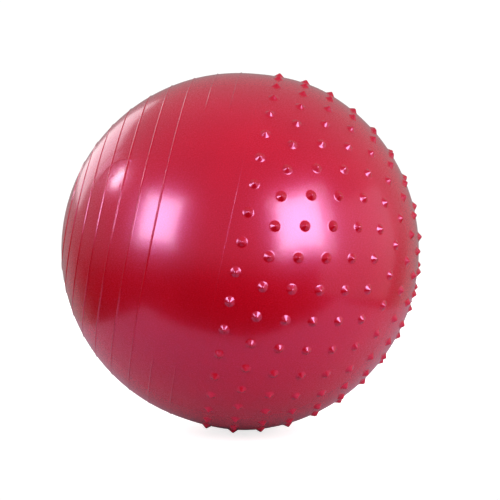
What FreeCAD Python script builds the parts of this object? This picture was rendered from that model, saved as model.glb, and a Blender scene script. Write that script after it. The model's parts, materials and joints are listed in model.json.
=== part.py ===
"""Inflated exercise ball, half nubbed and half ribbed, with its air valve. Millimetres, +Z up.

The origin is the centre of the ball. The ball's own axis joins its two poles: the nubbed pole is
towards +X and dips below the horizontal by LEAN, the way the ball comes to rest, and the ribbed
pole, which holds the air valve, is towards -X. The ball is first built about the X axis and every
piece is then turned by LEAN.

Latitude counts from the ball's equator, positive towards the nubbed pole. Longitude counts round
the axis from the top of the ball, and 90 degrees is the front of the ball, towards -Y.
"""
import FreeCAD, Part
import math
import os

# The skin: two half balls of slightly different radius, one moulding
RIBBED_RADIUS = 322.0
NUBBED_RADIUS = 328.0
WALL = 0.8
SEAM_LATITUDE = -3.1
SWELL_END_LATITUDE = 14.5
LEAN = 11.6

# Ribs: thin rings, evenly spaced from the seam, the nearest ones left out across the front
RIB_COUNT = 9
RIB_PITCH = 7.6
RIB_HEIGHT = 1.0
RIB_HALF_WIDTH = 1.1
BROKEN_RIBS = 2
WINDOW_START = 37.0
WINDOW_END = 126.0

# Nubs: how many stand in each row, from the equator to the pole. Every row starts on one meridian
NUBS_IN_ROW = (40, 39, 36, 33, 30, 27, 22, 17, 12, 6)
START_LONGITUDE = -17.8
SWELL_ROWS = 2
FIRST_ROW_LATITUDE = 1.55
ROW_PITCH = 8.5
ROW_SPREAD = 0.058
NUB_HEIGHT = 6.3
ROOT_DEPTH = 0.5
NUB_FOOT_RADIUS = 10.0
NUB_WAIST_RADIUS = 6.2
NUB_WAIST_HEIGHT = 1.5
NUB_SHOULDER_RADIUS = 1.4
NUB_TIP_RADIUS = 2.2

# Valve seat: a thick sleeve bonded into the ribbed pole, its outer face level with the skin
SEAT_BARREL_RADIUS = 12.0
SEAT_FLANGE_RADIUS = 22.0
SEAT_FLANGE_THICKNESS = 1.8
SEAT_NECK_RADIUS = 9.0
SEAT_LENGTH = 17.0
SEAT_BORE_RADIUS = 4.5
RECESS_RADIUS = 8.6
RECESS_DEPTH = 2.6
SEAT_FACE_INSET = 0.4

# Valve plug: a flat-headed push-in stopper, level with the skin when it is home
PLUG_CLEARANCE = 0.05
PLUG_HEAD_RADIUS = 8.2
PLUG_HEAD_THICKNESS = 2.2
PLUG_HEAD_EDGE = 0.5
PLUG_STEM_LENGTH = 20.0
PLUG_NOSE_LENGTH = 3.0
PLUG_NOSE_RADIUS = 3.2
PLUG_HOLLOW_RADIUS = 2.4
PLUG_HOLLOW_DEPTH = 15.0
PLUG_GROOVE_RADIUS = 4.05
PLUG_GROOVE_WIDTH = 1.6
PLUG_GROOVES = (5.0, 9.0, 13.0)

ORIGIN = FreeCAD.Vector(0, 0, 0)
AXIS = FreeCAD.Vector(1, 0, 0)
UP = FreeCAD.Vector(0, 0, 1)


def on_meridian(latitude, radius):
    """Point of the top meridian, in the XZ plane, at a latitude in degrees and a radius."""
    angle = math.radians(latitude)
    return FreeCAD.Vector(radius * math.sin(angle), 0, radius * math.cos(angle))


def arc(start, middle, end):
    return Part.Arc(start, middle, end).toShape()


def sphere_arc(radius, start, end):
    """Stretch of a meridian from one latitude to another."""
    middle = (start + end) / 2
    return arc(on_meridian(start, radius), on_meridian(middle, radius), on_meridian(end, radius))


def line(start, end):
    return Part.LineSegment(start, end).toShape()


def turned(edges, angle=360):
    """Solid of revolution of a closed outline about the ball's axis."""
    return Part.Face(Part.Wire(edges)).revolve(ORIGIN, AXIS, angle)


def around(shape, longitude):
    """Copy of a shape turned round the axis, from the top towards the front."""
    copy = shape.copy()
    copy.rotate(ORIGIN, AXIS, longitude)
    return copy


def rib_latitude(number):
    return SEAM_LATITUDE - RIB_PITCH * number


def rib_edges(latitude):
    """Half-round crest of one rib, between its two feet on the skin."""
    half = math.degrees(RIB_HALF_WIDTH / RIBBED_RADIUS)
    foot = on_meridian(latitude - half, RIBBED_RADIUS)
    crest = on_meridian(latitude, RIBBED_RADIUS + RIB_HEIGHT)
    head = on_meridian(latitude + half, RIBBED_RADIUS)
    return half, arc(foot, crest, head)


def swell(inset=0.0):
    """Centre on the axis and radius of the ball between the seam and the full nubbed radius."""
    start = on_meridian(SEAM_LATITUDE, RIBBED_RADIUS - inset)
    end = on_meridian(SWELL_END_LATITUDE, NUBBED_RADIUS - inset)
    centre = (end.Length ** 2 - start.Length ** 2) / (2 * (end.x - start.x))
    return centre, math.hypot(start.x - centre, start.z)


def on_swell(latitude, inset=0.0):
    """Point of the top meridian on the swelling stretch of the ball."""
    centre, radius = swell(inset)
    angle = math.radians(latitude)
    reach = centre * math.sin(angle) + math.sqrt(radius ** 2 - (centre * math.cos(angle)) ** 2)
    return on_meridian(latitude, reach)


def ribbed_end():
    """Solid ball end from the ribbed pole to the seam, with its whole ribs."""
    edges = []
    start = -90.0
    for number in range(RIB_COUNT, BROKEN_RIBS, -1):
        half, crest = rib_edges(rib_latitude(number))
        edges.append(sphere_arc(RIBBED_RADIUS, start, rib_latitude(number) - half))
        edges.append(crest)
        start = rib_latitude(number) + half
    edges.append(sphere_arc(RIBBED_RADIUS, start, SEAM_LATITUDE))
    seam = on_meridian(SEAM_LATITUDE, RIBBED_RADIUS)
    centre = FreeCAD.Vector(seam.x, 0, 0)
    edges.append(line(seam, centre))
    edges.append(line(centre, on_meridian(-90, RIBBED_RADIUS)))
    broken = [broken_rib(number) for number in range(1, BROKEN_RIBS + 1)]
    return turned(edges).multiFuse(broken)


def slab(start, end):
    """Block across the ball between two distances along its axis."""
    width = 2 * NUBBED_RADIUS + 4 * NUB_HEIGHT
    return Part.makeBox(end - start, width, width, FreeCAD.Vector(start, -width / 2, -width / 2))


def swelling_belt():
    """Solid belt from the seam to the full nubbed radius, with its rows of nubs."""
    centre, radius = swell()
    start = on_meridian(SEAM_LATITUDE, RIBBED_RADIUS).x
    end = on_meridian(SWELL_END_LATITUDE, NUBBED_RADIUS).x
    ball = Part.makeSphere(radius, FreeCAD.Vector(centre, 0, 0), AXIS)
    return ball.multiFuse(nubs(0, SWELL_ROWS)).common(slab(start, end))


def nubbed_end():
    """Solid ball end round the nubbed pole, with its rows of nubs and the nub on the pole."""
    start = on_meridian(SWELL_END_LATITUDE, NUBBED_RADIUS).x
    ball = Part.makeSphere(NUBBED_RADIUS)
    ball = ball.multiFuse(nubs(SWELL_ROWS, len(NUBS_IN_ROW)) + [placed_nub(nub(), 90, 0)])
    return ball.common(slab(start, 2 * NUBBED_RADIUS))


def inside():
    """The air space: the outside without ribs and nubs, one wall thickness further in."""
    small = RIBBED_RADIUS - WALL
    large = NUBBED_RADIUS - WALL
    swelling = arc(
        on_meridian(SEAM_LATITUDE, small),
        on_swell((SEAM_LATITUDE + SWELL_END_LATITUDE) / 2, WALL),
        on_meridian(SWELL_END_LATITUDE, large),
    )
    return turned([
        sphere_arc(small, -90, SEAM_LATITUDE), swelling, sphere_arc(large, SWELL_END_LATITUDE, 90),
        line(on_meridian(90, large), on_meridian(-90, small)),
    ])


def broken_rib(number):
    """One of the ribs next to the seam, which stops at the two sides of the smooth front window."""
    latitude = rib_latitude(number)
    half, crest = rib_edges(latitude)
    root = on_meridian(latitude, RIBBED_RADIUS - ROOT_DEPTH)
    ends = crest.Vertexes
    edges = [crest, line(ends[1].Point, root), line(root, ends[0].Point)]
    sweep = 360 - (WINDOW_END - WINDOW_START)
    return around(turned(edges, sweep), WINDOW_END)


def row_latitude(number):
    """Latitude of a row of nubs; the rows open out a little towards the pole."""
    return FIRST_ROW_LATITUDE + ROW_PITCH * number + ROW_SPREAD * number ** 2


def nub_outline():
    """Rounded point and flank of a nub on a skin at height 0, and the corner at its foot."""
    centre = UP * (NUB_HEIGHT - NUB_TIP_RADIUS)
    lean = math.asin(NUB_SHOULDER_RADIUS / NUB_TIP_RADIUS)
    tip, middle, shoulder = (
        centre + FreeCAD.Vector(math.sin(angle), 0, math.cos(angle)) * NUB_TIP_RADIUS
        for angle in (0, lean / 2, lean)
    )
    waist = FreeCAD.Vector(NUB_WAIST_RADIUS, 0, NUB_WAIST_HEIGHT)
    foot = FreeCAD.Vector(NUB_FOOT_RADIUS, 0, -ROOT_DEPTH)
    return [arc(tip, middle, shoulder), line(shoulder, waist), line(waist, foot)]


def nub():
    """One nub, standing along +Z: flared foot, cone and rounded point, rooted in the wall."""
    root = FreeCAD.Vector(0, 0, -ROOT_DEPTH)
    foot = FreeCAD.Vector(NUB_FOOT_RADIUS, 0, -ROOT_DEPTH)
    edges = [line(foot, root), line(root, UP * NUB_HEIGHT)]
    return Part.Face(Part.Wire(nub_outline() + edges)).revolve(ORIGIN, UP, 360)


def placed_nub(pattern, latitude, longitude):
    """Copy of the nub, square on the skin at a latitude and longitude."""
    foot = on_meridian(latitude, NUBBED_RADIUS)
    centre = 0.0
    if latitude < SWELL_END_LATITUDE:
        foot = on_swell(latitude)
        centre = swell()[0]
    copy = pattern.copy()
    copy.rotate(ORIGIN, FreeCAD.Vector(0, 1, 0), math.degrees(math.atan2(foot.x - centre, foot.z)))
    copy.translate(foot)
    return around(copy, longitude)


def nubs(first, last):
    """Every nub of the rows from first up to last."""
    pattern = nub()
    placed = []
    for number in range(first, last):
        count = NUBS_IN_ROW[number]
        for place in range(count):
            longitude = START_LONGITUDE + 360 * place / count
            placed.append(placed_nub(pattern, row_latitude(number), longitude))
    return placed


def ball_skin():
    """The whole moulded skin: every nub and rib is one piece with the wall."""
    outside = ribbed_end().multiFuse([swelling_belt(), nubbed_end()])
    outer_end = FreeCAD.Vector(-RIBBED_RADIUS - WALL, 0, 0)
    hole = Part.makeCylinder(SEAT_BARREL_RADIUS, 4 * WALL, outer_end, AXIS)
    return outside.cut(inside()).cut(hole)


def along_axis(points):
    """Solid of revolution from (distance from the centre, radius) points at the ribbed pole."""
    corners = [FreeCAD.Vector(-distance, 0, radius) for distance, radius in points]
    return turned([line(a, b) for a, b in zip(corners, corners[1:] + corners[:1])])


def seat_face():
    """Distance of the seat's outer face from the centre of the ball."""
    return RIBBED_RADIUS - SEAT_FACE_INSET


def valve_seat():
    """Sleeve through the skin, with a flange bonded inside it and a recess for the plug's head."""
    face = seat_face()
    under_skin = math.sqrt((RIBBED_RADIUS - WALL) ** 2 - SEAT_FLANGE_RADIUS ** 2)
    flange_end = under_skin - SEAT_FLANGE_THICKNESS
    sleeve = along_axis((
        (face, RECESS_RADIUS), (face, SEAT_BARREL_RADIUS), (flange_end, SEAT_BARREL_RADIUS),
        (face - SEAT_LENGTH, SEAT_NECK_RADIUS), (face - SEAT_LENGTH, SEAT_BORE_RADIUS),
        (face - RECESS_DEPTH, SEAT_BORE_RADIUS), (face - RECESS_DEPTH, RECESS_RADIUS),
    ))
    flange = along_axis((
        (RIBBED_RADIUS, SEAT_BARREL_RADIUS), (RIBBED_RADIUS, SEAT_FLANGE_RADIUS),
        (flange_end, SEAT_FLANGE_RADIUS), (flange_end, SEAT_BARREL_RADIUS),
    ))
    flange = flange.common(Part.makeSphere(RIBBED_RADIUS - WALL))
    return sleeve.fuse(flange).removeSplitter()


def valve_plug():
    """Push-in stopper: flat head in the recess, grooved stem in the bore, hollow from its nose."""
    floor = seat_face() - RECESS_DEPTH
    stem = SEAT_BORE_RADIUS - PLUG_CLEARANCE
    end = floor - PLUG_STEM_LENGTH
    head = floor + PLUG_HEAD_THICKNESS
    profile = [(head, 0), (head, PLUG_HEAD_RADIUS - PLUG_HEAD_EDGE)]
    profile += [(head - PLUG_HEAD_EDGE, PLUG_HEAD_RADIUS), (floor, PLUG_HEAD_RADIUS), (floor, stem)]
    for depth in PLUG_GROOVES:
        slope = stem - PLUG_GROOVE_RADIUS
        start = floor - depth
        stop = start - PLUG_GROOVE_WIDTH
        profile += [(start, stem), (start - slope, PLUG_GROOVE_RADIUS)]
        profile += [(stop + slope, PLUG_GROOVE_RADIUS), (stop, stem)]
    profile += [(end + PLUG_NOSE_LENGTH, stem), (end, PLUG_NOSE_RADIUS), (end, PLUG_HOLLOW_RADIUS)]
    hollow_end = end + PLUG_HOLLOW_DEPTH
    profile += [(hollow_end, PLUG_HOLLOW_RADIUS), (hollow_end + PLUG_HOLLOW_RADIUS, 0)]
    return along_axis(profile)


def main():
    os.makedirs("parts", exist_ok=True)
    pieces = {"ball_skin": ball_skin(), "valve_seat": valve_seat(), "valve_plug": valve_plug()}
    for name, piece in pieces.items():
        piece.rotate(ORIGIN, FreeCAD.Vector(0, 1, 0), LEAN)
        piece.exportStep("parts/" + name + ".step")
        volume = round(piece.Volume / 1000, 2)
        print(name, "valid", piece.isValid(), "solids", len(piece.Solids), "cm3", volume)


main()
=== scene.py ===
"""Looks of an inflated exercise ball, half nubbed and half ribbed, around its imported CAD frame.

The CAD gives the place and the size. Here the skin becomes one fine mesh: every nub has its own
polar patch, the ribs and the parting line are raised on rings, and the wall closes at the valve.
Directions on the ball use latitude from its equator, positive towards the nubbed pole, and
longitude round its axis from the top, where 90 degrees is the front.
"""
import json
import math
import bpy
import numpy as np
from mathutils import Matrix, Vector

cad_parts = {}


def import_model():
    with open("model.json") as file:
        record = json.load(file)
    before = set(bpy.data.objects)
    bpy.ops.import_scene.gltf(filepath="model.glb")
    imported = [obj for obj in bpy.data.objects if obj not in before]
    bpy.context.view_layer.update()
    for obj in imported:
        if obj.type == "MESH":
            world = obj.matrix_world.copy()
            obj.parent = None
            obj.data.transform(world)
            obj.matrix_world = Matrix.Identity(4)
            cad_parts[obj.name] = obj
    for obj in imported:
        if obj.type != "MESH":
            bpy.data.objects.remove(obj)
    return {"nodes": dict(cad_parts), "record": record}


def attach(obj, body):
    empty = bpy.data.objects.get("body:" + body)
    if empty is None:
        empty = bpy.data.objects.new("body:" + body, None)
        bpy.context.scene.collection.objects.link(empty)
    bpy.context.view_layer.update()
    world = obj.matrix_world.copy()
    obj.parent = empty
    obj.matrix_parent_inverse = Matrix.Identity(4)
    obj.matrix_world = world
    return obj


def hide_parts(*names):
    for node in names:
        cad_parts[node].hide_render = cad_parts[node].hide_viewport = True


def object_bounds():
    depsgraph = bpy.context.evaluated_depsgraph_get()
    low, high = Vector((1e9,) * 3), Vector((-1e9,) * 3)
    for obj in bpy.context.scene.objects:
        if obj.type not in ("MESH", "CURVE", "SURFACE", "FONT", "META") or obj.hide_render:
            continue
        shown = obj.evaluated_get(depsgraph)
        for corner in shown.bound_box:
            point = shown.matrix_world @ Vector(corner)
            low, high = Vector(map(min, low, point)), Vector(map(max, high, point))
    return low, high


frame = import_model()
cad_low, cad_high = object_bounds()

MM = 0.001

# The skin, in millimetres and degrees. Its radius grows from one half to the other over the swell
RIBBED_RADIUS = 322.0
NUBBED_RADIUS = 328.0
SWELL_START = -8.0
SWELL_END = 18.0
WALL = 0.8
VALVE_HOLE_RADIUS = 12.0

# Parting line and ribs. The first ribs beside it are broken by a smooth window at the front
SEAM_LATITUDE = -3.1
SEAM_HEIGHT = 0.18
SEAM_HALF_WIDTH = 0.9
RIB_COUNT = 9
RIB_PITCH = 7.6
RIB_HEIGHT = 1.0
RIB_HALF_WIDTH = 1.8
BROKEN_RIBS = 2
WINDOW_START = 37.0
WINDOW_END = 126.0
WINDOW_FADE = 1.5

# Nubs: how many stand in each row, from the equator to the pole. Every row starts on one meridian,
# and the rows lie a little further apart towards the pole
NUBS_IN_ROW = (40, 39, 36, 33, 30, 27, 22, 17, 12, 6)
START_LONGITUDE = -17.8
FIRST_ROW_LATITUDE = 1.55
ROW_PITCH = 8.5
ROW_SPREAD = 0.058
NUB_HEIGHT = 6.2
NUB_FOOT_RADIUS = 9.8
NUB_TIP_ROUNDING = 2.0
NUB_FLARE = 1.25

# One curved fold in the vinyl, high on the ribbed half: part of a circle about one point, that
# fades out over a range of x at its right end and of z at its lower end
FOLD_LATITUDE = -44.0
FOLD_LONGITUDE = 69.0
FOLD_RADIUS = 55.0
FOLD_EDGE = 2.8
FOLD_FLANK = 20.0
FOLD_RIGHT = (-186.0, -172.0)
FOLD_LOWER = (125.0, 150.0)

# The span in which nearly all values of a noise lie
NOISE_SPAN = (0.3, 0.7)

# Pearl vinyl. Scales are noise cells per metre; a crease runs where its noise is within a band of
# its middle value; creases and fold are this many times as high as the faint orange peel
PEARL_DARK = (0.46, 0.0004, 0.006, 1)
PEARL_LIGHT = (0.52, 0.0006, 0.008, 1)
PEARL_SHEEN = (1.0, 0.31, 0.95, 1)
PEARL_IOR = 2.1
PEARL_SMOOTHEST = 0.24
PEARL_ROUGHEST = 0.29
COAT_ROUGHNESS = 0.15
COAT_IOR = 1.45
CLOUD_SCALE = 7.0
FLAKE_SCALE = 900.0
PEEL_SCALE = 160.0
PEEL_DEPTH = 0.0003
PEEL_STRENGTH = 0.35
CREASE_PATH_SCALE = 3.2
CREASE_PATCH_SCALE = 5.0
CREASE_PATCH = (0.5, 0.58)
CREASE_BAND = 0.004
CREASE_HEIGHT = 1.2
FOLD_HEIGHT = 16.0

# Plain vinyl of the valve
SEAT_DARK = (0.22, 0.004, 0.014, 1)
SEAT_LIGHT = (0.28, 0.006, 0.02, 1)
SEAT_ROUGHNESS = 0.4
PLUG_DARK = (0.74, 0.73, 0.70, 1)
PLUG_LIGHT = (0.80, 0.79, 0.76, 1)
PLUG_ROUGHNESS = 0.42
MOTTLE_SCALE = 260.0
MOTTLE_ROUGHNESS = 0.05
GRAIN_SCALE = 2400.0
GRAIN_DEPTH = 0.00005
GRAIN_STRENGTH = 0.3

# Fineness of the skin's mesh: nub rings in millimetres, rib loops in half widths of a rib
CELL_SIDE = 6
NUB_RINGS = (0.7, 1.5, 2.6, 4.0, 5.6, 7.3, 8.7, 9.7, 10.8)
OUTER_RING_SHARE = 0.5
ROW_GAP = 0.35
FIRST_BORDER = -2.3
RIB_LOOPS = (-1.5, -1, -0.66, -0.33, 0, 0.33, 0.66, 1, 1.5)
LOOPS_BETWEEN_RIBS = (0.25, 0.5, 0.75)
AFTER_LAST_RIB = 1.2
RIB_COLUMNS = 216
# Round the valve the loops thin out: columns and the latitudes of the loops that have them
VALVE_LOOPS = ((108, (-74.0, -77.0)), (90, (-80.0, -83.0)), (60, (-85.0, -86.5)))
# Rounded edge of the valve hole: how far outside its radius, and how deep, each loop lies
HOLE_EDGE = ((0.3, 0.0), (0.09, 0.09), (0.0, 0.3), (0.0, 0.6), (0.2, WALL))
INNER_VALVE_LATITUDES = (-86.0, -84.0, -81.0)
INNER_LATITUDES = range(-78, 89, 4)
INNER_COLUMNS = 90

# The camera
CAMERA_DISTANCE = 3.444
CAMERA_AZIMUTH = 2.27
CAMERA_ELEVATION = 6.0
CAMERA_LENS = 135.8
CAMERA_SHIFT = 0.0232

# Strength of the studio: what lights the ball, what its gloss mirrors and what the camera sees
FRONT_LIGHT = 0.35
BACK_LIGHT = 2.35
FRONT_MIRRORED = 0.20
BACK_MIRRORED = 0.27
BACKDROP = 1.05
FLOOR_GLOW = 0.75
FLOOR_ROUGHNESS = 0.7
FLOOR_COLOUR = (0.64, 0.62, 0.62, 1)
# Table colour in the ball's reflections: dimmer, with a painted red tint standing in for light
# bounced from the ball
FLOOR_MIRRORED_COLOUR_PAINTED_BOUNCE = (0.27, 0.175, 0.235, 1)
FLOOR_LEFT = -0.62
FLOOR_RIGHT = 0.8
FLOOR_FRONT = -0.5
FLOOR_BACK = 2.5

# Where the room changes, as low and high ends on the unit sphere of directions: along y from front
# to back for its light, its mirror image and the wall behind, along z from the dim ground upwards
LIGHT_CHANGE = (-0.05, 0.5)
MIRRORED_CHANGE = (0.2, 0.8)
GROUND_CHANGE = (-0.18, 0.08)
GROUND_SHARE = 0.02
REAR_CHANGE = (0.4, 0.75)

# Lamps: name, azimuth and elevation in degrees, then distance, width and height in metres, and watts
SOFTBOXES = (
    ("left_softbox", -48.8, 20.5, 2.2, 0.88, 0.90, 13.8),
    ("left_glow", -48.6, 20.0, 2.3, 1.22, 1.30, 7.0),
    ("right_softbox", 38.0, 20.5, 2.2, 1.20, 1.10, 23),
    ("right_glow", 40.0, 20.5, 2.3, 1.85, 1.60, 15),
    ("back_light", -96.5, 30.0, 2.4, 0.26, 0.34, 3.2),
    ("left_panel", -139.0, 21.0, 3.0, 1.5, 1.4, 8.2),
    ("right_panel", 82.0, 2.0, 3.0, 3.6, 2.6, 10.5),
)


def pump_port():
    """The record's mount whose axis points out of the ball's ribbed pole."""
    return next(m for m in frame["record"]["mounts"] if m["name"] == "pump_port")


# The ball's own directions: its axis to the nubbed pole, and longitude 0 and 90 at its equator
AXIS = -np.array(pump_port()["axis"])
FRONT = np.array((0.0, -1.0, 0.0))
TOP = np.cross(FRONT, AXIS)


# ---------------------------------------------------------------- shape of the skin

def direction(latitude, longitude):
    """Unit vectors of the directions at latitudes and longitudes in degrees."""
    lat = np.radians(np.asarray(latitude, float))[..., None]
    lon = np.radians(np.asarray(longitude, float))[..., None]
    return np.sin(lat) * AXIS + np.cos(lat) * (np.cos(lon) * TOP + np.sin(lon) * FRONT)


def latitude_of(towards):
    return np.degrees(np.arcsin(np.clip(towards @ AXIS, -1, 1)))


def smooth(value):
    """Smooth step from 0 to 1."""
    t = np.clip(value, 0, 1)
    return t * t * (3 - 2 * t)


def skin_radius(latitude):
    """Radius of the plain skin: the nubbed half is a little larger."""
    rise = smooth((latitude - SWELL_START) / (SWELL_END - SWELL_START))
    return RIBBED_RADIUS + (NUBBED_RADIUS - RIBBED_RADIUS) * rise


def nub_profile(distance):
    """Height of a nub over the skin: flared foot, steep flank and rounded point."""
    reach = np.clip(1 - np.hypot(distance, NUB_TIP_ROUNDING) / NUB_FOOT_RADIUS, 0, 1)
    top = 1 - NUB_TIP_ROUNDING / NUB_FOOT_RADIUS
    return NUB_HEIGHT * (reach / top) ** NUB_FLARE


def ridge(latitude, crest, height, half_width):
    """Height of a ring-shaped ridge whose crest is at one latitude."""
    off = np.radians(latitude - crest) * RIBBED_RADIUS / half_width
    return height * np.cos(np.clip(off, -1, 1) * math.pi / 2) ** 2


def rib_latitude(number):
    return SEAM_LATITUDE - RIB_PITCH * number


def window(longitude):
    """0 inside the smooth front window and 1 where the ribs beside the seam are whole."""
    lon = np.mod(longitude, 360)
    before = smooth((WINDOW_START - lon) / WINDOW_FADE)
    after = smooth((lon - WINDOW_END) / WINDOW_FADE)
    return np.maximum(before, after)


def ring_height(latitude, longitude):
    """Height of the parting line and the ribs over the plain skin."""
    seam = ridge(latitude, SEAM_LATITUDE, SEAM_HEIGHT, SEAM_HALF_WIDTH)
    height = np.full(len(longitude), seam)
    for number in range(1, RIB_COUNT + 1):
        rib = ridge(latitude, rib_latitude(number), RIB_HEIGHT, RIB_HALF_WIDTH)
        if number <= BROKEN_RIBS:
            rib = rib * window(longitude)
        height = height + rib
    return height


class Shell:
    """Points and faces of one mesh that grows loop by loop. A loop is (indices, longitudes)."""

    def __init__(self):
        self.points = []
        self.faces = []
        self.total = 0

    def add(self, points):
        """Adds an array of points and gives their indices in the same arrangement."""
        points = np.asarray(points, float)
        first = self.total
        self.points.append(points.reshape(-1, 3))
        self.total += len(self.points[-1])
        return np.arange(first, self.total).reshape(points.shape[:-1])

    def band(self, south, north):
        """Faces between two closed loops of as many points."""
        south_next = np.roll(south, -1)
        north_next = np.roll(north, -1)
        self.faces += np.stack([south, south_next, north_next, north], 1).tolist()

    def fan(self, centre, loop):
        """Triangles from one point to the closed loop round it."""
        self.faces += [[int(centre), int(p), int(q)] for p, q in zip(loop, np.roll(loop, -1))]

    def band_out(self, inner, outer):
        """Faces between a loop and the loop round it."""
        pair = np.stack([inner, outer, np.roll(outer, -1), np.roll(inner, -1)], 1)
        self.faces += pair.tolist()

    def stitch(self, south, north):
        """Triangles between two closed loops of different counts, each with rising longitudes.

        The northern loop is turned to start beside the southern one. Then both are walked
        together, and the next triangle steps along the loop whose next point comes first.
        """
        (a, a_lon), (b, b_lon) = south, north
        shift = int(np.argmin(np.abs((b_lon - a_lon[0] + 180) % 360 - 180)))
        b = np.roll(b, -shift)
        b_lon = a_lon[0] + np.cumsum(np.r_[0, np.diff(np.roll(b_lon, -shift)) % 360])
        a_lon = np.r_[a_lon, a_lon[0] + 360]
        b_lon = np.r_[b_lon, b_lon[0] + 360]
        a = np.r_[a, a[0]]
        b = np.r_[b, b[0]]
        i = j = 0
        while i < len(a) - 1 or j < len(b) - 1:
            step_south = j == len(b) - 1 or (i < len(a) - 1 and a_lon[i + 1] <= b_lon[j + 1])
            if step_south:
                self.faces.append([int(a[i]), int(a[i + 1]), int(b[j])])
                i += 1
            else:
                self.faces.append([int(a[i]), int(b[j + 1]), int(b[j])])
                j += 1

    def object(self, name):
        """The shell as a smooth object in metres."""
        mesh = bpy.data.meshes.new(name)
        mesh.from_pydata((np.concatenate(self.points) * MM).tolist(), [], self.faces)
        mesh.validate()
        mesh.shade_smooth()
        made = bpy.data.objects.new(name, mesh)
        bpy.context.scene.collection.objects.link(made)
        return made


def row_latitude(number):
    return FIRST_ROW_LATITUDE + ROW_PITCH * number + ROW_SPREAD * number ** 2


def border(number):
    """Latitude of the border below a row of nubs."""
    if number == 0:
        return FIRST_BORDER
    if number == len(NUBS_IN_ROW):
        return (row_latitude(number - 1) + 90) / 2
    return (row_latitude(number - 1) + row_latitude(number)) / 2


def nub_patch(shell, centre, rim, rim_points):
    """Polar patch round one nub: rings about its point, the last one opening to the rim."""
    towards = rim_points - centre * (rim_points @ centre)[:, None]
    towards /= np.linalg.norm(towards, axis=1)[:, None]
    rings = []
    for distance in NUB_RINGS:
        angle = distance / NUBBED_RADIUS
        rings.append(centre * math.cos(angle) + towards * math.sin(angle))
    ring = rings[-1] * (1 - OUTER_RING_SHARE) + rim_points * OUTER_RING_SHARE
    rings.append(ring / np.linalg.norm(ring, axis=1)[:, None])
    tip = shell.add((skin_radius(latitude_of(centre)) + nub_profile(0.0)) * centre[None, :])[0]
    below = None
    for ring in rings:
        distance = np.arccos(np.clip(ring @ centre, -1, 1)) * NUBBED_RADIUS
        radius = skin_radius(latitude_of(ring)) + nub_profile(distance)
        loop = shell.add(ring * radius[:, None])
        if below is None:
            shell.fan(tip, loop)
        else:
            shell.band_out(below, loop)
        below = loop
    shell.band_out(below, rim)


def nub_row(shell, number):
    """A belt of square cells with a nub in each. Returns its lower and upper loops.

    Neighbouring cells share the points of the side between them, so a cell's rim is a run of the
    lower loop, the next side, a run of the upper loop backwards and its own side downwards.
    """
    count = NUBS_IN_ROW[number]
    low = border(number) + ROW_GAP
    high = border(number + 1) - ROW_GAP
    columns = count * CELL_SIDE
    longitude = START_LONGITUDE + (np.arange(columns) / CELL_SIDE - 0.5) * 360 / count

    def on_skin(lat, lon):
        towards = direction(lat, lon)
        return towards, shell.add(towards * skin_radius(np.asarray(lat, float))[..., None])

    low_way, low_loop = on_skin(np.full(columns, low), longitude)
    high_way, high_loop = on_skin(np.full(columns, high), longitude)
    steps = low + (high - low) * np.arange(1, CELL_SIDE) / CELL_SIDE
    side_lat = np.tile(steps, (count, 1))
    side_lon = np.repeat(longitude[::CELL_SIDE][:, None], CELL_SIDE - 1, 1)
    side_way, side = on_skin(side_lat, side_lon)
    for place in range(count):
        after = (place + 1) % count
        run = (place * CELL_SIDE + np.arange(CELL_SIDE + 1)) % columns
        rim = np.r_[low_loop[run], side[after], high_loop[run][::-1], side[place][::-1]]
        way = np.r_[low_way[run], side_way[after], high_way[run][::-1], side_way[place][::-1]]
        centre = direction(row_latitude(number), START_LONGITUDE + 360 * place / count)
        nub_patch(shell, centre, rim, way)
    return (low_loop, longitude), (high_loop, longitude)


def ring_loop(shell, latitude, columns):
    """One closed loop of the ribbed half, with the height of ribs and parting line."""
    longitude = np.arange(columns) * 360 / columns
    radius = skin_radius(latitude) + ring_height(latitude, longitude)
    return shell.add(direction(latitude, longitude) * radius[:, None]), longitude


def ribbed_latitudes():
    """Latitudes of the ribbed half's loops from the seam down, close together over each ridge."""
    fine = np.degrees(np.array(RIB_LOOPS) * RIB_HALF_WIDTH / RIBBED_RADIUS)
    seam = fine * SEAM_HALF_WIDTH / RIB_HALF_WIDTH
    found = list(SEAM_LATITUDE + seam)
    for number in range(1, RIB_COUNT + 1):
        found += list(rib_latitude(number) + fine)
        found += list(rib_latitude(number - 1) - RIB_PITCH * np.array(LOOPS_BETWEEN_RIBS))
    found.append(rib_latitude(RIB_COUNT) - AFTER_LAST_RIB)
    return sorted(found, reverse=True)


def ribbed_half(shell, upper):
    """The ribbed half from below the first row of nubs to the valve hole."""
    rows = ribbed_latitudes()
    loop = ring_loop(shell, rows[0], RIB_COLUMNS)
    shell.stitch(loop, upper)
    for latitude in rows[1:]:
        below = ring_loop(shell, latitude, RIB_COLUMNS)
        shell.band(below[0], loop[0])
        loop = below
    for columns, latitudes in VALVE_LOOPS:
        for place, latitude in enumerate(latitudes):
            below = ring_loop(shell, latitude, columns)
            if place == 0:
                shell.stitch(below, loop)
            else:
                shell.band(below[0], loop[0])
            loop = below
    return loop


def hole_rim(shell, loop):
    """Rounded edge of the wall round the valve seat, from the outside to the inside."""
    longitude = loop[1]
    way = direction(0.0, longitude)
    for out, depth in HOLE_EDGE:
        across = VALVE_HOLE_RADIUS + out
        along = math.sqrt((RIBBED_RADIUS - depth) ** 2 - across ** 2)
        below = shell.add(way * across - AXIS * along)
        shell.band(below, loop[0])
        loop = (below, longitude)
    return loop


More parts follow.
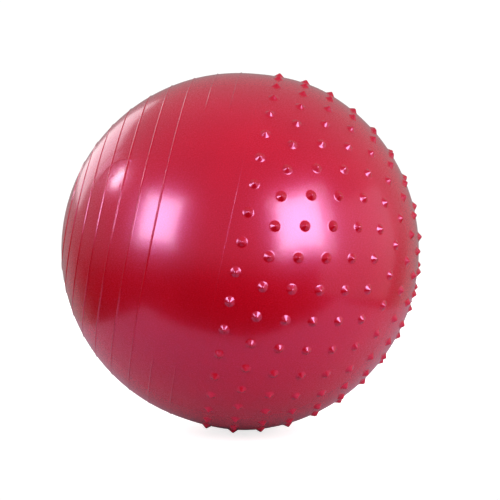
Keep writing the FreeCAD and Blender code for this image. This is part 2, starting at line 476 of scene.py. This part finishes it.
def inner_wall(shell, loop):
    """The inside of the skin, from the valve hole to the nubbed pole, seen from outside it."""
    for latitude in INNER_VALVE_LATITUDES:
        radius = skin_radius(latitude) - WALL
        above = shell.add(direction(latitude, loop[1]) * radius)
        shell.band(above, loop[0])
        loop = (above, loop[1])
    longitude = np.arange(INNER_COLUMNS) * 360 / INNER_COLUMNS
    for place, latitude in enumerate(INNER_LATITUDES):
        radius = skin_radius(latitude) - WALL
        above = (shell.add(direction(latitude, longitude) * radius), longitude)
        if place == 0:
            shell.stitch(above, loop)
        else:
            shell.band(above[0], loop[0])
        loop = above
    pole = shell.add(AXIS[None, :] * (NUBBED_RADIUS - WALL))[0]
    shell.fan(pole, loop[0])


def pole_cap(shell, loop):
    """The nub on the pole and the skin round it."""
    indices, longitude = loop
    count = 4 * CELL_SIDE
    around = longitude[0] + np.arange(count) * 360 / count
    latitude = border(len(NUBS_IN_ROW)) + ROW_GAP
    rim_way = direction(np.full(count, latitude), around)
    rim = shell.add(rim_way * skin_radius(latitude))
    shell.stitch((indices, longitude), (rim, around))
    nub_patch(shell, AXIS, rim, rim_way)


def ball_skin():
    """The whole skin as one closed shell: outside, edge at the valve, inside."""
    shell = Shell()
    first, upper = nub_row(shell, 0)
    for number in range(1, len(NUBS_IN_ROW)):
        lower, next_upper = nub_row(shell, number)
        shell.stitch(upper, lower)
        upper = next_upper
    pole_cap(shell, upper)
    loop = hole_rim(shell, ribbed_half(shell, first))
    inner_wall(shell, loop)
    return shell.object("ball_skin_vinyl")


# ---------------------------------------------------------------- materials

def new_material(name):
    """Node material, its tree and its Principled shader."""
    material = bpy.data.materials.new(name)
    material.use_nodes = True
    tree = material.node_tree
    shader = tree.nodes["Principled BSDF"]
    return material, tree, shader


def node(tree, kind, settings=None, **inputs):
    """Adds a node; an input, named or i and its number, is a value or another node's output."""
    made = tree.nodes.new(kind)
    for key, value in (settings or {}).items():
        setattr(made, key, value)
    for key, value in inputs.items():
        numbered = key[0] == "i" and key[1:].isdigit()
        socket = made.inputs[int(key[1:]) if numbered else key]
        if isinstance(value, bpy.types.NodeSocket):
            tree.links.new(value, socket)
        else:
            socket.default_value = value
    return made


def noise(tree, place, scale, detail):
    return node(
        tree, "ShaderNodeTexNoise", Vector=place, Scale=scale, Detail=detail
    ).outputs["Fac"]


def ranged(tree, value, from_low, from_high, to_low, to_high):
    """Maps one range to another and holds its ends."""
    return node(
        tree, "ShaderNodeMapRange", i0=value, i1=from_low, i2=from_high, i3=to_low, i4=to_high
    ).outputs[0]


def combined(tree, operation, *values):
    """One math operation on one, two or three values."""
    inputs = {f"i{place}": value for place, value in enumerate(values)}
    return node(tree, "ShaderNodeMath", {"operation": operation}, **inputs).outputs[0]


def mixed(tree, factor, without, full):
    """The number without where the factor is 0, full where it is 1."""
    return node(
        tree, "ShaderNodeMix", {"data_type": "FLOAT"}, i0=factor, i2=without, i3=full
    ).outputs[0]


def clouded(tree, amount, dark, light):
    """Colour that runs from dark to light as a noise rises."""
    tone = node(tree, "ShaderNodeValToRGB", i0=amount)
    ramp = tone.color_ramp
    ramp.elements[0].position = NOISE_SPAN[0]
    ramp.elements[0].color = dark
    ramp.elements[1].position = NOISE_SPAN[1]
    ramp.elements[1].color = light
    return tone.outputs["Color"]


def creases(tree, place):
    """1 along a few thin, wandering fold marks in the vinyl, where a noise passes its middle."""
    level = noise(tree, place, CREASE_PATH_SCALE, 1.5)
    away = combined(tree, "ABSOLUTE", combined(tree, "SUBTRACT", level, 0.5))
    line = ranged(tree, away, 0.0, CREASE_BAND, 1.0, 0.0)
    patches = ranged(tree, noise(tree, place, CREASE_PATCH_SCALE, 1.0), *CREASE_PATCH, 0.0, 1.0)
    return combined(tree, "MULTIPLY", line, patches)


def fold(tree, place):
    """1 along the curved fold, with a sharp inner edge and a soft outer flank."""
    centre = direction(FOLD_LATITUDE, FOLD_LONGITUDE) * RIBBED_RADIUS * MM
    away = node(
        tree, "ShaderNodeVectorMath", {"operation": "DISTANCE"}, i0=place, i1=tuple(centre)
    ).outputs["Value"]
    crest = (FOLD_RADIUS + FOLD_EDGE) * MM
    at = node(tree, "ShaderNodeSeparateXYZ", Vector=place).outputs
    height = ranged(tree, away, FOLD_RADIUS * MM, crest, 0.0, 1.0)
    for share in (
        ranged(tree, away, crest, crest + FOLD_FLANK * MM, 1.0, 0.0),
        ranged(tree, at["X"], *(x * MM for x in FOLD_RIGHT), 1.0, 0.0),
        ranged(tree, at["Z"], *(z * MM for z in FOLD_LOWER), 0.0, 1.0),
    ):
        height = combined(tree, "MULTIPLY", height, share)
    return height


def bumpy(tree, shader, height, strength, depth):
    """Gives the shader the normals of a height pattern that is depth metres deep."""
    bump = node(tree, "ShaderNodeBump", Strength=strength, Distance=depth, Height=height)
    tree.links.new(bump.outputs["Normal"], shader.inputs["Normal"])


def pearl_vinyl():
    """Glossy red vinyl with fine pearl: clouded colour, tiny flakes, faint orange peel."""
    material, tree, shader = new_material("pearl_red_vinyl")
    place = tree.nodes.new("ShaderNodeTexCoord").outputs["Object"]
    clouds = noise(tree, place, CLOUD_SCALE, 3.0)
    flakes = noise(tree, place, FLAKE_SCALE, 2.0)
    colour = clouded(tree, clouds, PEARL_DARK, PEARL_LIGHT)
    tree.links.new(colour, shader.inputs["Base Color"])
    rough = ranged(tree, flakes, *NOISE_SPAN, PEARL_SMOOTHEST, PEARL_ROUGHEST)
    tree.links.new(rough, shader.inputs["Roughness"])
    shader.inputs["IOR"].default_value = PEARL_IOR
    shader.inputs["Specular Tint"].default_value = PEARL_SHEEN
    shader.inputs["Coat Weight"].default_value = 1.0
    shader.inputs["Coat Roughness"].default_value = COAT_ROUGHNESS
    shader.inputs["Coat IOR"].default_value = COAT_IOR
    height = noise(tree, place, PEEL_SCALE, 3.0)
    height = combined(tree, "MULTIPLY_ADD", creases(tree, place), CREASE_HEIGHT, height)
    height = combined(tree, "MULTIPLY_ADD", fold(tree, place), FOLD_HEIGHT, height)
    bumpy(tree, shader, height, PEEL_STRENGTH, PEEL_DEPTH)
    return material


def plain_vinyl(name, dark, light, roughness):
    """Soft moulded vinyl for the valve: faint mottling and a fine grain."""
    material, tree, shader = new_material(name)
    place = tree.nodes.new("ShaderNodeTexCoord").outputs["Object"]
    mottle = noise(tree, place, MOTTLE_SCALE, 4.0)
    tree.links.new(clouded(tree, mottle, dark, light), shader.inputs["Base Color"])
    rough = ranged(
        tree, mottle, *NOISE_SPAN, roughness - MOTTLE_ROUGHNESS, roughness + MOTTLE_ROUGHNESS
    )
    tree.links.new(rough, shader.inputs["Roughness"])
    bumpy(tree, shader, noise(tree, place, GRAIN_SCALE, 2.0), GRAIN_STRENGTH, GRAIN_DEPTH)
    return material


def give(thing, material):
    """Puts one material in every slot of an object."""
    if not thing.material_slots:
        thing.data.materials.append(material)
    for slot in thing.material_slots:
        slot.material = material


# ---------------------------------------------------------------- studio

def seen_from(azimuth, elevation):
    """Unit vector from the ball's centre: azimuth 0 is the front, -Y, and 90 is +X."""
    az = math.radians(azimuth)
    el = math.radians(elevation)
    return Vector((math.sin(az) * math.cos(el), -math.cos(az) * math.cos(el), math.sin(el)))


def aim(thing):
    """Turns a lamp or the camera towards the ball's centre."""
    thing.rotation_euler = (-thing.location).to_track_quat("-Z", "Y").to_euler()


def softbox(name, azimuth, elevation, distance, width, height, power):
    """Rectangular lamp that faces the ball."""
    light = bpy.data.lights.new(name, "AREA")
    light.shape = "RECTANGLE"
    light.size = width
    light.size_y = height
    light.energy = power
    lamp = bpy.data.objects.new(name, light)
    lamp.location = seen_from(azimuth, elevation) * distance
    aim(lamp)
    bpy.context.scene.collection.objects.link(lamp)


def camera():
    data = bpy.data.cameras.new("camera")
    data.lens = CAMERA_LENS
    data.shift_x = CAMERA_SHIFT
    made = bpy.data.objects.new("camera", data)
    made.location = seen_from(CAMERA_AZIMUTH, CAMERA_ELEVATION) * CAMERA_DISTANCE
    aim(made)
    bpy.context.scene.collection.objects.link(made)
    bpy.context.scene.camera = made


def floor():
    """White table top under the ball, which the ball mirrors dimly and with a painted red tint that
    stands in for the ball's red light bounced onto it.
    """
    level = cad_low[2]
    mesh = bpy.data.meshes.new("floor")
    corners = [
        (FLOOR_LEFT, FLOOR_FRONT, level), (FLOOR_RIGHT, FLOOR_FRONT, level),
        (FLOOR_RIGHT, FLOOR_BACK, level), (FLOOR_LEFT, FLOOR_BACK, level),
    ]
    mesh.from_pydata(corners, [], [(0, 1, 2, 3)])
    made = bpy.data.objects.new("floor", mesh)
    bpy.context.scene.collection.objects.link(made)
    material, tree, shader = new_material("white_table")
    shader.inputs["Roughness"].default_value = FLOOR_ROUGHNESS
    shader.inputs["Emission Color"].default_value = (1, 1, 1, 1)
    glow = split(tree, 0.0, 0.0, FLOOR_GLOW)
    tree.links.new(glow, shader.inputs["Emission Strength"])
    path = tree.nodes.new("ShaderNodeLightPath").outputs
    # In reflections the table shows its dim colour with the painted red bounce tint
    shade = node(
        tree, "ShaderNodeMix", {"data_type": "RGBA"},
        i0=path["Is Glossy Ray"], i6=FLOOR_COLOUR, i7=FLOOR_MIRRORED_COLOUR_PAINTED_BOUNCE,
    ).outputs[2]
    tree.links.new(shade, shader.inputs["Base Color"])
    mesh.materials.append(material)


def split(tree, lit, mirrored, shown):
    """Strength of a stage light: one to what it lights, one to reflections, one to the camera."""
    path = tree.nodes.new("ShaderNodeLightPath").outputs
    unseen = mixed(tree, path["Is Glossy Ray"], lit, mirrored)
    return mixed(tree, path["Is Camera Ray"], unseen, shown)


def world():
    """White backdrop for the camera; for the ball a dim room in front and a bright one behind."""
    made = bpy.data.worlds.new("studio")
    bpy.context.scene.world = made
    made.use_nodes = True
    tree = made.node_tree
    tree.nodes.clear()
    way = tree.nodes.new("ShaderNodeTexCoord").outputs["Generated"]
    parts = node(tree, "ShaderNodeSeparateXYZ", Vector=way).outputs
    lit = ranged(tree, parts["Y"], *LIGHT_CHANGE, FRONT_LIGHT, BACK_LIGHT)
    mirrored = ranged(tree, parts["Y"], *MIRRORED_CHANGE, FRONT_MIRRORED, BACK_MIRRORED)
    above = ranged(tree, parts["Z"], *GROUND_CHANGE, GROUND_SHARE, 1.0)
    behind = ranged(tree, parts["Y"], *REAR_CHANGE, 0.0, 1.0)
    share = combined(tree, "MAXIMUM", above, behind)
    lit = combined(tree, "MULTIPLY", lit, share)
    mirrored = combined(tree, "MULTIPLY", mirrored, share)
    strength = split(tree, lit, mirrored, BACKDROP)
    room = node(tree, "ShaderNodeBackground", Color=(1, 1, 1, 1), Strength=strength)
    node(tree, "ShaderNodeOutputWorld", Surface=room.outputs[0])


def studio():
    """All lamps, and colours shown as they are."""
    for box in SOFTBOXES:
        softbox(*box)
    bpy.context.scene.view_settings.view_transform = "Standard"


# ---------------------------------------------------------------- the scene

camera()
skin = ball_skin()
give(skin, pearl_vinyl())
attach(skin, "ball")
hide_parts("ball_skin")
give(frame["nodes"]["valve_seat"], plain_vinyl("seat_vinyl", SEAT_DARK, SEAT_LIGHT, SEAT_ROUGHNESS))
give(frame["nodes"]["valve_plug"], plain_vinyl("plug_vinyl", PLUG_DARK, PLUG_LIGHT, PLUG_ROUGHNESS))
world()
studio()
floor()
